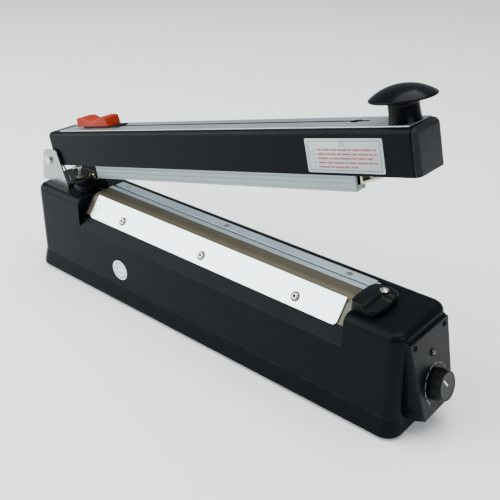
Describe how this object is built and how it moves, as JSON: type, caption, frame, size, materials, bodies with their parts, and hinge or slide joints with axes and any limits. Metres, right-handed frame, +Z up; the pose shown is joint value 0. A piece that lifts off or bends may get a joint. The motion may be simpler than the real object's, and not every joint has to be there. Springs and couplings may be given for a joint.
{
  "type": "impulse heat sealer",
  "caption": "Bench impulse heat sealer with a hinged pressing arm, mushroom handle, sliding film cutter, sloped sealing jaw and a timer knob on its end.",
  "frame": {"origin": "on the desk, under the middle of the object's overall length and depth with the arm open", "axes": "+X along the base from the hinge to the control end, +Y to the back, +Z up"},
  "size_m": [0.4721, 0.081, 0.2681],
  "materials": {
    "black_coat": "satin powder coat, near black with a cool tint",
    "end_grain": "charcoal, fine rough grain",
    "steel_sheet": "zinc-plated sheet",
    "bright_plate": "bright, finely brushed",
    "screw_steel": "bright plated",
    "yellow_zinc": "yellow passivated",
    "terminal_brass": "plain",
    "aluminium": "satin anodised, drawn along its length",
    "spring_steel": "drawn wire",
    "core_steel": "varnished laminations",
    "copper": "enamelled wire",
    "element_alloy": "nickel-chrome ribbon",
    "ptfe_fabric": "brown coated glass cloth",
    "insulation": "glass tape",
    "rubber": "matt",
    "silicone": "matt",
    "black_plastic": "glossy moulding",
    "satin_plastic": "satin moulding",
    "orange_plastic": "orange-red moulding",
    "lamp_lens": "dark red lens, unlit",
    "white_plastic": "plain",
    "board_green": "solder mask",
    "relay_blue": "plain",
    "capacitor_sleeve": "plain",
    "wire_sheath": "plain",
    "sticker_paper": "plain",
    "label_foil": "silver-grey foil label"
  },
  "bodies": {
    "base": {"base_housing": "black_coat", "bottom_plate": "steel_sheet", "bottom_plate_screws": "screw_steel", "rubber_feet": "rubber", "control_panel": "black_coat", "panel_screws": "satin_plastic", "indicator_lamp": "lamp_lens", "potentiometer_body": "steel_sheet", "seal_bar": "aluminium", "element_insulation": "insulation", "heating_element": "element_alloy", "ptfe_cloth": "ptfe_fabric", "clamp_plate": "bright_plate", "clamp_plate_screws": "screw_steel", "rear_rail": "aluminium", "rear_rail_screws": "screw_steel", "right_end_block": "satin_plastic", "left_end_block": "satin_plastic", "end_block_screws": "screw_steel", "element_terminals": "terminal_brass", "tension_springs": "spring_steel", "hinge_bracket": "steel_sheet", "hinge_bracket_screws": "yellow_zinc", "hinge_pin": "screw_steel", "pin_clips": "spring_steel", "return_spring": "spring_steel", "transformer_core": "core_steel", "transformer_winding": "copper", "transformer_bracket": "steel_sheet", "transformer_screws": "screw_steel", "circuit_board": "board_green", "board_standoffs": "white_plastic", "board_relay": "relay_blue", "board_capacitor": "capacitor_sleeve", "microswitch_body": "satin_plastic", "rod_guide": "yellow_zinc", "cord_gland": "rubber", "terminal_strip": "white_plastic", "internal_wires": "wire_sheath", "round_sticker": "sticker_paper"},
    "arm": {"arm_housing": "black_coat", "arm_end_cap": "end_grain", "arm_top_strip": "aluminium", "pressure_bar": "aluminium", "silicone_strip": "silicone", "bar_screws": "screw_steel", "bar_end_bracket": "yellow_zinc", "handle_knob": "black_plastic", "handle_bolt": "screw_steel", "instruction_label": "label_foil", "arm_hinge_bracket": "black_coat", "switch_striker": "yellow_zinc"},
    "cutter": {"cutter_knob": "orange_plastic", "blade_carrier": "satin_plastic", "cutter_blade": "bright_plate"},
    "timer": {"timer_knob": "satin_plastic", "knob_pointer": "white_plastic", "potentiometer_shaft": "screw_steel"},
    "rod": {"push_rod": "spring_steel"},
    "button": {"switch_button": "lamp_lens"}
  },
  "joints": [
    {"name": "arm_hinge", "type": "hinge", "parent": "base", "child": "arm", "pos_m": [-0.2208, 0, 0.1188], "axis": [0, 1, 0], "range_deg": [0, 13.4], "stiffness_Nm_per_rad": 0.8, "springref_deg": -114.59, "deforming": ["return_spring"]},
    {"name": "cutter_slide", "type": "slide", "parent": "arm", "child": "cutter", "axis": [0.9728, 0, 0.2317], "range_m": [0, 0.27]},
    {"name": "timer_turn", "type": "hinge", "parent": "base", "child": "timer", "pos_m": [0.22367, 0, 0.04248], "axis": [0.972, 0, 0.2351], "range_deg": [-170, 100]},
    {"name": "rod_slide", "type": "slide", "parent": "base", "child": "rod", "axis": [0, 0, 1], "range_m": [-0.0055, 0]},
    {"name": "button_slide", "type": "slide", "parent": "base", "child": "button", "axis": [0, 0, 1], "range_m": [-0.0008, 0], "stiffness_N_per_m": 60, "springref_m": 0.001}
  ],
  "couplings": [
    {"joint": "rod_slide", "follows": "arm_hinge", "m_per_rad": -0.0218}
  ]
}
